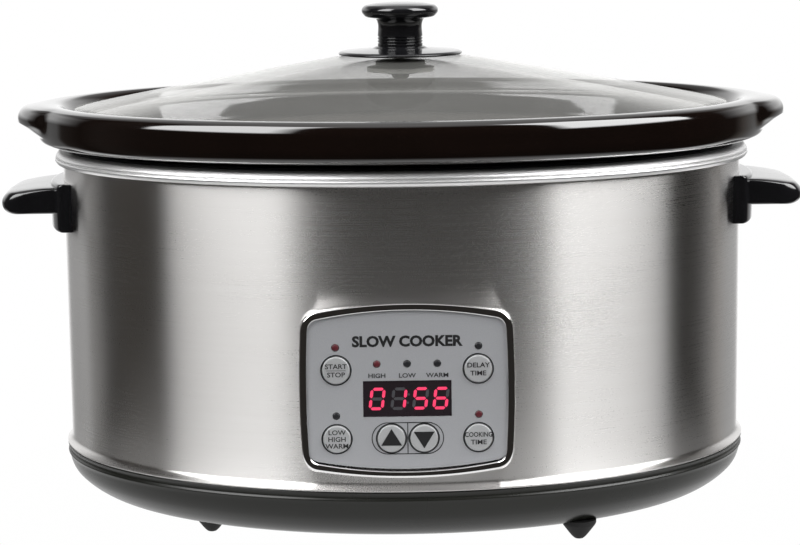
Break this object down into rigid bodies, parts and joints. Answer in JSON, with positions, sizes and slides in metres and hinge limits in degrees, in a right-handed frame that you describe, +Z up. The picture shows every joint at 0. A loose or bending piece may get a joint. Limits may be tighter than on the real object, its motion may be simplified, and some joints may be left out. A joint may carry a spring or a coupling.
{
  "type": "slow cooker",
  "caption": "Oval countertop slow cooker: brushed-steel sleeve, lift-out glazed crock, domed glass lid with knob, side handles and a framed digital control panel.",
  "frame": {"origin": "on the table surface, under the middle of the oval", "axes": "+X to the right-hand handle seen from the front, +Y to the rear, +Z up; the control panel faces -Y"},
  "size_m": [0.418, 0.279, 0.262],
  "materials": {
    "brushed_steel": "horizontally brushed stainless sheet",
    "polished_steel": "polished rolled steel",
    "chrome": "chrome-plated plastic",
    "aluminium": "drawn aluminium, matt",
    "zinc_steel": "zinc-plated steel",
    "rubber": "matt silicone rubber",
    "heater_mica": "mica-wrapped heating band",
    "fibre_blanket": "ceramic fibre felt",
    "base_plastic": "moulded, fine satin",
    "black_plastic": "moulded, glossy",
    "inner_plastic": "moulded, matt",
    "dark_glaze": "dark brown-black gloss glaze",
    "lid_glass": "clear tempered glass, ground edge",
    "fascia_silver": "silver-grey printed film",
    "button_silver": "silver-grey satin caps",
    "display_lens": "dark tinted lens",
    "indicator_red": "small moulded lenses",
    "circuit_board": "glass-epoxy board",
    "lead_insulation": "silicone insulation",
    "ceramic_white": "unglazed ceramic"
  },
  "bodies": {
    "housing": {"base_housing": "base_plastic", "board_screws": "zinc_steel", "button_switches": "black_plastic", "control_board": "circuit_board", "cord_gland": "base_plastic", "display_module": "black_plastic", "display_window": "display_lens", "filter_capacitor": "black_plastic", "foot_front_left": "rubber", "foot_front_right": "rubber", "foot_rear_left": "rubber", "foot_rear_right": "rubber", "fuse_clip": "zinc_steel", "handle_left": "black_plastic", "handle_right": "black_plastic", "handle_screws": "zinc_steel", "heat_shield": "zinc_steel", "heater_band": "heater_mica", "heater_leads": "lead_insulation", "heating_well": "aluminium", "indicator_lights": "indicator_red", "insulation_blanket": "fibre_blanket", "outer_sleeve": "brushed_steel", "panel_box": "inner_plastic", "panel_fascia": "fascia_silver", "panel_frame": "chrome", "panel_ribbon": "lead_insulation", "panel_screws": "zinc_steel", "power_board": "circuit_board", "relay": "black_plastic", "rim_seal": "rubber", "sensor_holder": "zinc_steel", "shield_screws": "zinc_steel", "temperature_sensor": "zinc_steel", "terminal_block": "black_plastic", "thermal_fuse": "ceramic_white", "tie_nut": "zinc_steel", "tie_spacer": "zinc_steel", "tie_stud": "zinc_steel", "transformer": "black_plastic", "trim_ring": "polished_steel"},
    "crock": {"crock": "dark_glaze"},
    "lid": {"knob_flange": "black_plastic", "knob_gasket": "rubber", "knob_screw": "zinc_steel", "knob_washer": "zinc_steel", "lid_glass": "lid_glass", "lid_knob": "black_plastic"},
    "button_start_stop": {"button_start_stop": "button_silver"},
    "button_delay_time": {"button_delay_time": "button_silver"},
    "button_heat_mode": {"button_heat_mode": "button_silver"},
    "button_cooking_time": {"button_cooking_time": "button_silver"},
    "button_up": {"button_up": "button_silver"},
    "button_down": {"button_down": "button_silver"}
  },
  "joints": [
    {"name": "crock_lift", "type": "slide", "parent": "housing", "child": "crock", "axis": [0, 0, 1], "range_m": [0, 0.17]},
    {"name": "lid_lift", "type": "slide", "parent": "crock", "child": "lid", "axis": [0, 0, 1], "range_m": [0, 0.12]},
    {"name": "start_stop_press", "type": "slide", "parent": "housing", "child": "button_start_stop", "axis": [0, 1, 0], "range_m": [0, 0.0005], "stiffness_N_per_m": 900, "springref_m": -0.001},
    {"name": "delay_time_press", "type": "slide", "parent": "housing", "child": "button_delay_time", "axis": [0, 1, 0], "range_m": [0, 0.0005], "stiffness_N_per_m": 900, "springref_m": -0.001},
    {"name": "heat_mode_press", "type": "slide", "parent": "housing", "child": "button_heat_mode", "axis": [0, 1, 0], "range_m": [0, 0.0005], "stiffness_N_per_m": 900, "springref_m": -0.001},
    {"name": "cooking_time_press", "type": "slide", "parent": "housing", "child": "button_cooking_time", "axis": [0, 1, 0], "range_m": [0, 0.0005], "stiffness_N_per_m": 900, "springref_m": -0.001},
    {"name": "up_press", "type": "slide", "parent": "housing", "child": "button_up", "axis": [0, 1, 0], "range_m": [0, 0.0005], "stiffness_N_per_m": 900, "springref_m": -0.001},
    {"name": "down_press", "type": "slide", "parent": "housing", "child": "button_down", "axis": [0, 1, 0], "range_m": [0, 0.0005], "stiffness_N_per_m": 900, "springref_m": -0.001}
  ]
}
